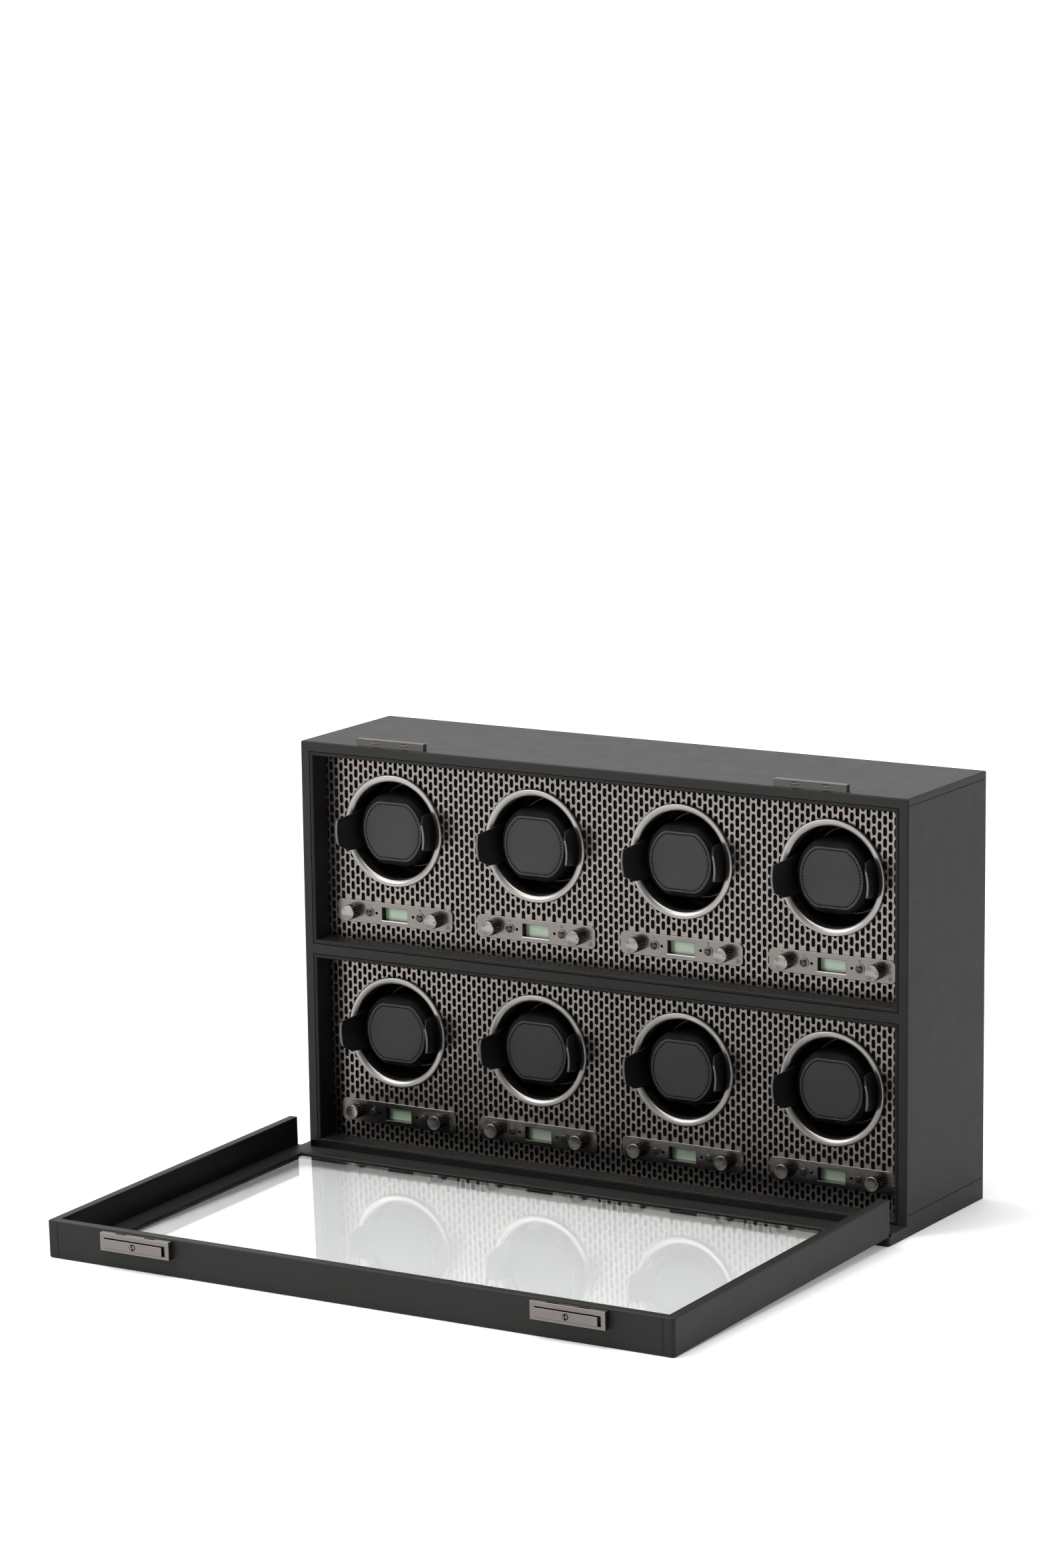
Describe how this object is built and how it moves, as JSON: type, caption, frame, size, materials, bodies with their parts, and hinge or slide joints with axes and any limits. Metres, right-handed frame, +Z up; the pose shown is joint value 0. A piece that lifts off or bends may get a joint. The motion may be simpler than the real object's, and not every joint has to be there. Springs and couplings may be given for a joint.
{
  "type": "watch winder box",
  "caption": "Watch winder box with a drop-down glazed door, turning cuffs in two rows, and a control plate with knobs, buttons and a display under each.",
  "frame": {"origin": "centre of the case's bottom face, on the table", "axes": "+X to the right of a viewer in front of the open door, +Y to the rear, +Z up; the door is stored open, its free edge on the table"},
  "size_m": [0.68, 0.6199, 0.4313],
  "materials": {
    "leatherette": "fine-grained dark grey leatherette over board",
    "leatherette_back": "dark grey lining cloth on the back",
    "lining": "smooth dark grey lining",
    "panel_metal": "satin grey-brown metallic paint",
    "satin_metal": "satin nickel",
    "black_plastic": "matt black",
    "motor_steel": "plain steel can",
    "circuit": "green circuit board with a pale green display",
    "hinge_metal": "dark nickel",
    "glass": "clear polished glass with a green edge",
    "cuff_leather": "charcoal leather cuff on a black plastic cradle",
    "knob_metal": "turned face, dark fluted skirt",
    "button_dark": "glossy black dome"
  },
  "bodies": {
    "case": {"case_shell": "leatherette", "base_board": "leatherette", "back_panel": "leatherette_back", "compartment_liners": "lining", "slotted_panels": "panel_metal", "bezel_rings": "satin_metal", "drum_housings": "black_plastic", "gearmotors": "motor_steel", "control_plates": "panel_metal", "display_boards": "circuit", "latch_strikes": "satin_metal", "power_inlet": "black_plastic", "hinge_lip_leaf": "hinge_metal"},
    "door": {"door_frame": "leatherette", "door_glass": "glass", "glass_retainer": "lining", "latch_housings": "satin_metal", "hinge_door_leaf": "hinge_metal"},
    "latch_bar_body_left": {"latch_bar_left": "satin_metal"},
    "latch_bar_body_right": {"latch_bar_right": "satin_metal"},
    "rotor_body_1": {"rotor_1": "cuff_leather"},
    "rotor_body_2": {"rotor_2": "cuff_leather"},
    "rotor_body_3": {"rotor_3": "cuff_leather"},
    "rotor_body_4": {"rotor_4": "cuff_leather"},
    "rotor_body_5": {"rotor_5": "cuff_leather"},
    "rotor_body_6": {"rotor_6": "cuff_leather"},
    "rotor_body_7": {"rotor_7": "cuff_leather"},
    "rotor_body_8": {"rotor_8": "cuff_leather"},
    "knob_body_left_1": {"knob_left_1": "knob_metal"},
    "knob_body_right_1": {"knob_right_1": "knob_metal"},
    "knob_body_left_2": {"knob_left_2": "knob_metal"},
    "knob_body_right_2": {"knob_right_2": "knob_metal"},
    "knob_body_left_3": {"knob_left_3": "knob_metal"},
    "knob_body_right_3": {"knob_right_3": "knob_metal"},
    "knob_body_left_4": {"knob_left_4": "knob_metal"},
    "knob_body_right_4": {"knob_right_4": "knob_metal"},
    "knob_body_left_5": {"knob_left_5": "knob_metal"},
    "knob_body_right_5": {"knob_right_5": "knob_metal"},
    "knob_body_left_6": {"knob_left_6": "knob_metal"},
    "knob_body_right_6": {"knob_right_6": "knob_metal"},
    "knob_body_left_7": {"knob_left_7": "knob_metal"},
    "knob_body_right_7": {"knob_right_7": "knob_metal"},
    "knob_body_left_8": {"knob_left_8": "knob_metal"},
    "knob_body_right_8": {"knob_right_8": "knob_metal"},
    "button_body_left_1": {"button_left_1": "button_dark"},
    "button_body_right_1": {"button_right_1": "button_dark"},
    "button_body_left_2": {"button_left_2": "button_dark"},
    "button_body_right_2": {"button_right_2": "button_dark"},
    "button_body_left_3": {"button_left_3": "button_dark"},
    "button_body_right_3": {"button_right_3": "button_dark"},
    "button_body_left_4": {"button_left_4": "button_dark"},
    "button_body_right_4": {"button_right_4": "button_dark"},
    "button_body_left_5": {"button_left_5": "button_dark"},
    "button_body_right_5": {"button_right_5": "button_dark"},
    "button_body_left_6": {"button_left_6": "button_dark"},
    "button_body_right_6": {"button_right_6": "button_dark"},
    "button_body_left_7": {"button_left_7": "button_dark"},
    "button_body_right_7": {"button_right_7": "button_dark"},
    "button_body_left_8": {"button_left_8": "button_dark"},
    "button_body_right_8": {"button_right_8": "button_dark"}
  },
  "joints": [
    {"name": "case_door", "type": "hinge", "parent": "case", "child": "door", "pos_m": [0, -0.1164, 0.0118], "axis": [-1, 0, 0], "range_deg": [0, 91.28]},
    {"name": "bar_left", "type": "slide", "parent": "door", "child": "latch_bar_body_left", "axis": [1, 0, 0], "range_m": [0, 0.003], "stiffness_N_per_m": 500, "springref_m": -0.003},
    {"name": "bar_right", "type": "slide", "parent": "door", "child": "latch_bar_body_right", "axis": [1, 0, 0], "range_m": [0, 0.003], "stiffness_N_per_m": 500, "springref_m": -0.003},
    {"name": "cradle_1", "type": "hinge", "parent": "case", "child": "rotor_body_1", "pos_m": [-0.2469, 0, 0.3362], "axis": [0, 1, 0], "continuous": true},
    {"name": "cradle_2", "type": "hinge", "parent": "case", "child": "rotor_body_2", "pos_m": [-0.0823, 0, 0.3362], "axis": [0, 1, 0], "continuous": true},
    {"name": "cradle_3", "type": "hinge", "parent": "case", "child": "rotor_body_3", "pos_m": [0.0823, 0, 0.3362], "axis": [0, 1, 0], "continuous": true},
    {"name": "cradle_4", "type": "hinge", "parent": "case", "child": "rotor_body_4", "pos_m": [0.2469, 0, 0.3362], "axis": [0, 1, 0], "continuous": true},
    {"name": "cradle_5", "type": "hinge", "parent": "case", "child": "rotor_body_5", "pos_m": [-0.2469, 0, 0.1297], "axis": [0, 1, 0], "continuous": true},
    {"name": "cradle_6", "type": "hinge", "parent": "case", "child": "rotor_body_6", "pos_m": [-0.0823, 0, 0.1297], "axis": [0, 1, 0], "continuous": true},
    {"name": "cradle_7", "type": "hinge", "parent": "case", "child": "rotor_body_7", "pos_m": [0.0823, 0, 0.1297], "axis": [0, 1, 0], "continuous": true},
    {"name": "cradle_8", "type": "hinge", "parent": "case", "child": "rotor_body_8", "pos_m": [0.2469, 0, 0.1297], "axis": [0, 1, 0], "continuous": true},
    {"name": "turn_left_1", "type": "hinge", "parent": "case", "child": "knob_body_left_1", "pos_m": [-0.2959, 0, 0.2505], "axis": [0, 1, 0], "range_deg": [-90, 210]},
    {"name": "turn_right_1", "type": "hinge", "parent": "case", "child": "knob_body_right_1", "pos_m": [-0.1979, 0, 0.2505], "axis": [0, 1, 0], "range_deg": [-30, 30]},
    {"name": "turn_left_2", "type": "hinge", "parent": "case", "child": "knob_body_left_2", "pos_m": [-0.1313, 0, 0.2505], "axis": [0, 1, 0], "range_deg": [-90, 210]},
    {"name": "turn_right_2", "type": "hinge", "parent": "case", "child": "knob_body_right_2", "pos_m": [-0.0333, 0, 0.2505], "axis": [0, 1, 0], "range_deg": [-30, 30]},
    {"name": "turn_left_3", "type": "hinge", "parent": "case", "child": "knob_body_left_3", "pos_m": [0.0333, 0, 0.2505], "axis": [0, 1, 0], "range_deg": [-90, 210]},
    {"name": "turn_right_3", "type": "hinge", "parent": "case", "child": "knob_body_right_3", "pos_m": [0.1313, 0, 0.2505], "axis": [0, 1, 0], "range_deg": [-30, 30]},
    {"name": "turn_left_4", "type": "hinge", "parent": "case", "child": "knob_body_left_4", "pos_m": [0.1979, 0, 0.2505], "axis": [0, 1, 0], "range_deg": [-90, 210]},
    {"name": "turn_right_4", "type": "hinge", "parent": "case", "child": "knob_body_right_4", "pos_m": [0.2959, 0, 0.2505], "axis": [0, 1, 0], "range_deg": [-30, 30]},
    {"name": "turn_left_5", "type": "hinge", "parent": "case", "child": "knob_body_left_5", "pos_m": [-0.2959, 0, 0.044], "axis": [0, 1, 0], "range_deg": [-90, 210]},
    {"name": "turn_right_5", "type": "hinge", "parent": "case", "child": "knob_body_right_5", "pos_m": [-0.1979, 0, 0.044], "axis": [0, 1, 0], "range_deg": [-30, 30]},
    {"name": "turn_left_6", "type": "hinge", "parent": "case", "child": "knob_body_left_6", "pos_m": [-0.1313, 0, 0.044], "axis": [0, 1, 0], "range_deg": [-90, 210]},
    {"name": "turn_right_6", "type": "hinge", "parent": "case", "child": "knob_body_right_6", "pos_m": [-0.0333, 0, 0.044], "axis": [0, 1, 0], "range_deg": [-30, 30]},
    {"name": "turn_left_7", "type": "hinge", "parent": "case", "child": "knob_body_left_7", "pos_m": [0.0333, 0, 0.044], "axis": [0, 1, 0], "range_deg": [-90, 210]},
    {"name": "turn_right_7", "type": "hinge", "parent": "case", "child": "knob_body_right_7", "pos_m": [0.1313, 0, 0.044], "axis": [0, 1, 0], "range_deg": [-30, 30]},
    {"name": "turn_left_8", "type": "hinge", "parent": "case", "child": "knob_body_left_8", "pos_m": [0.1979, 0, 0.044], "axis": [0, 1, 0], "range_deg": [-90, 210]},
    {"name": "turn_right_8", "type": "hinge", "parent": "case", "child": "knob_body_right_8", "pos_m": [0.2959, 0, 0.044], "axis": [0, 1, 0], "range_deg": [-30, 30]},
    {"name": "push_left_1", "type": "slide", "parent": "case", "child": "button_body_left_1", "axis": [0, 1, 0], "range_m": [0, 0.0008], "stiffness_N_per_m": 400, "springref_m": -0.002},
    {"name": "push_right_1", "type": "slide", "parent": "case", "child": "button_body_right_1", "axis": [0, 1, 0], "range_m": [0, 0.0008], "stiffness_N_per_m": 400, "springref_m": -0.002},
    {"name": "push_left_2", "type": "slide", "parent": "case", "child": "button_body_left_2", "axis": [0, 1, 0], "range_m": [0, 0.0008], "stiffness_N_per_m": 400, "springref_m": -0.002},
    {"name": "push_right_2", "type": "slide", "parent": "case", "child": "button_body_right_2", "axis": [0, 1, 0], "range_m": [0, 0.0008], "stiffness_N_per_m": 400, "springref_m": -0.002},
    {"name": "push_left_3", "type": "slide", "parent": "case", "child": "button_body_left_3", "axis": [0, 1, 0], "range_m": [0, 0.0008], "stiffness_N_per_m": 400, "springref_m": -0.002},
    {"name": "push_right_3", "type": "slide", "parent": "case", "child": "button_body_right_3", "axis": [0, 1, 0], "range_m": [0, 0.0008], "stiffness_N_per_m": 400, "springref_m": -0.002},
    {"name": "push_left_4", "type": "slide", "parent": "case", "child": "button_body_left_4", "axis": [0, 1, 0], "range_m": [0, 0.0008], "stiffness_N_per_m": 400, "springref_m": -0.002},
    {"name": "push_right_4", "type": "slide", "parent": "case", "child": "button_body_right_4", "axis": [0, 1, 0], "range_m": [0, 0.0008], "stiffness_N_per_m": 400, "springref_m": -0.002},
    {"name": "push_left_5", "type": "slide", "parent": "case", "child": "button_body_left_5", "axis": [0, 1, 0], "range_m": [0, 0.0008], "stiffness_N_per_m": 400, "springref_m": -0.002},
    {"name": "push_right_5", "type": "slide", "parent": "case", "child": "button_body_right_5", "axis": [0, 1, 0], "range_m": [0, 0.0008], "stiffness_N_per_m": 400, "springref_m": -0.002},
    {"name": "push_left_6", "type": "slide", "parent": "case", "child": "button_body_left_6", "axis": [0, 1, 0], "range_m": [0, 0.0008], "stiffness_N_per_m": 400, "springref_m": -0.002},
    {"name": "push_right_6", "type": "slide", "parent": "case", "child": "button_body_right_6", "axis": [0, 1, 0], "range_m": [0, 0.0008], "stiffness_N_per_m": 400, "springref_m": -0.002},
    {"name": "push_left_7", "type": "slide", "parent": "case", "child": "button_body_left_7", "axis": [0, 1, 0], "range_m": [0, 0.0008], "stiffness_N_per_m": 400, "springref_m": -0.002},
    {"name": "push_right_7", "type": "slide", "parent": "case", "child": "button_body_right_7", "axis": [0, 1, 0], "range_m": [0, 0.0008], "stiffness_N_per_m": 400, "springref_m": -0.002},
    {"name": "push_left_8", "type": "slide", "parent": "case", "child": "button_body_left_8", "axis": [0, 1, 0], "range_m": [0, 0.0008], "stiffness_N_per_m": 400, "springref_m": -0.002},
    {"name": "push_right_8", "type": "slide", "parent": "case", "child": "button_body_right_8", "axis": [0, 1, 0], "range_m": [0, 0.0008], "stiffness_N_per_m": 400, "springref_m": -0.002}
  ]
}
